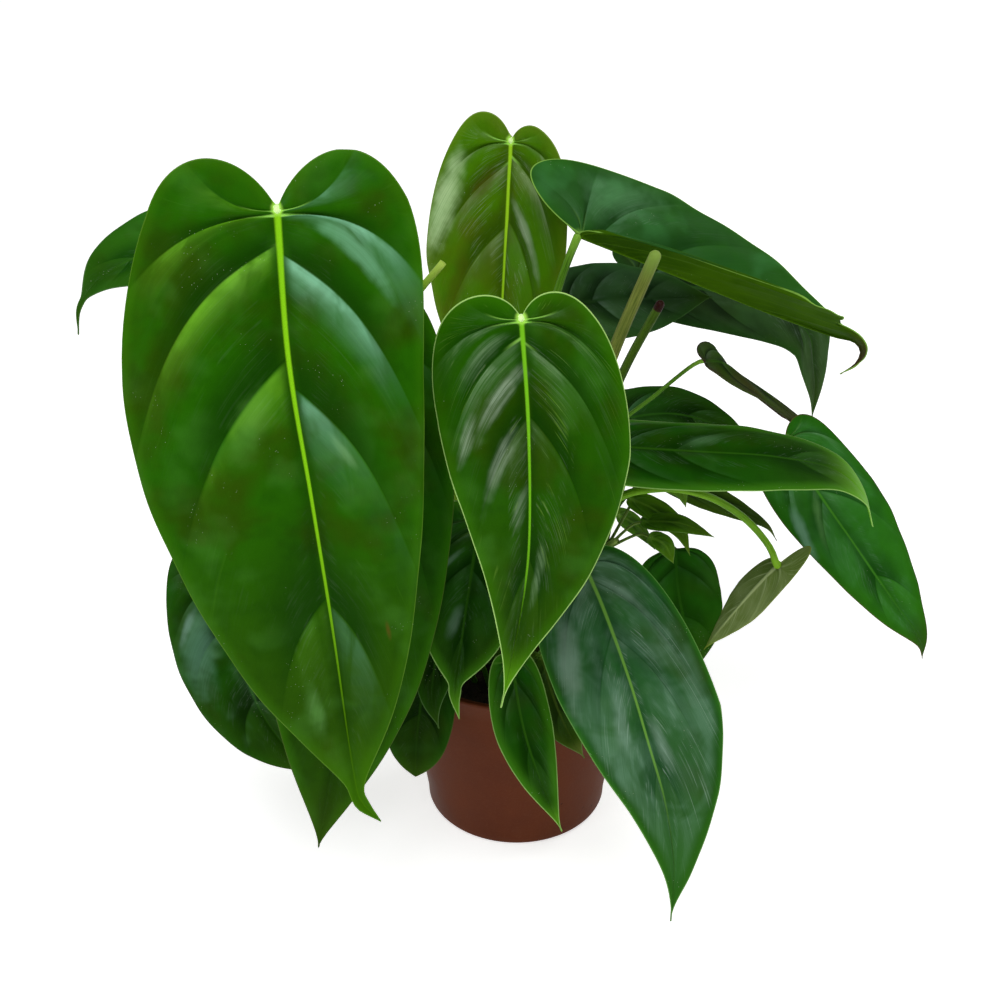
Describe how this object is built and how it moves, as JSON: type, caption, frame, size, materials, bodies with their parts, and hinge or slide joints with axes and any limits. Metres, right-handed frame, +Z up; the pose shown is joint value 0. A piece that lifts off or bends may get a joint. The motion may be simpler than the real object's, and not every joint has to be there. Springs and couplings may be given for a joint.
{
  "type": "potted philodendron esmeraldense",
  "caption": "Aroid house plant with large drooping heart-shaped leaves with sunken veins, on long stalks that rise from the soil of a plain round nursery pot.",
  "frame": {"origin": "centre of the pot's flat base, on the surface that it stands on", "axes": "+Z up; +X to the right, along the plant's widest spread; -Y towards the showing side, where the largest leaf hangs"},
  "size_m": [0.397, 0.293, 0.3889],
  "materials": {
    "pot": "satin",
    "soil": "matte",
    "leaf_fresh": "satin",
    "leaf_deep": "satin",
    "leaf_olive": "satin",
    "leaf_bluish": "satin",
    "leaf_pale": "matte",
    "stalk": "satin",
    "shoot_tan": "matte",
    "seedling": "satin"
  },
  "bodies": {
    "root": {"pot": "pot", "soil": "soil", "leaf_01": "leaf_fresh", "stalk_01": "stalk", "leaf_02": "leaf_fresh", "stalk_02": "stalk", "leaf_03": "leaf_olive", "stalk_03": "stalk", "leaf_04": "leaf_deep", "stalk_04": "stalk", "leaf_05": "leaf_deep", "stalk_05": "stalk", "leaf_06": "leaf_deep", "stalk_06": "stalk", "leaf_07": "leaf_deep", "stalk_07": "stalk", "leaf_08": "leaf_deep", "stalk_08": "stalk", "leaf_09": "leaf_fresh", "stalk_09": "stalk", "leaf_10": "leaf_deep", "stalk_10": "stalk", "leaf_11": "leaf_bluish", "stalk_11": "stalk", "leaf_12": "leaf_deep", "stalk_12": "stalk", "leaf_13": "leaf_fresh", "stalk_13": "stalk", "leaf_14": "leaf_deep", "stalk_14": "stalk", "leaf_15": "leaf_deep", "stalk_15": "stalk", "leaf_16": "leaf_deep", "stalk_16": "stalk", "leaf_17": "leaf_deep", "stalk_17": "stalk", "leaf_18": "leaf_deep", "stalk_18": "stalk", "leaf_19": "leaf_olive", "stalk_19": "stalk", "leaf_20": "leaf_deep", "stalk_20": "stalk", "leaf_21": "leaf_pale", "stalk_21": "stalk", "leaf_22": "leaf_olive", "stalk_22": "stalk", "leaf_23": "leaf_deep", "stalk_23": "stalk", "leaf_24": "leaf_deep", "stalk_24": "stalk", "leaf_25": "leaf_deep", "stalk_25": "stalk", "shoot_1": "shoot_tan", "shoot_2": "stalk", "shoot_3": "stalk", "seedling": "seedling"}
  },
  "joints": []
}
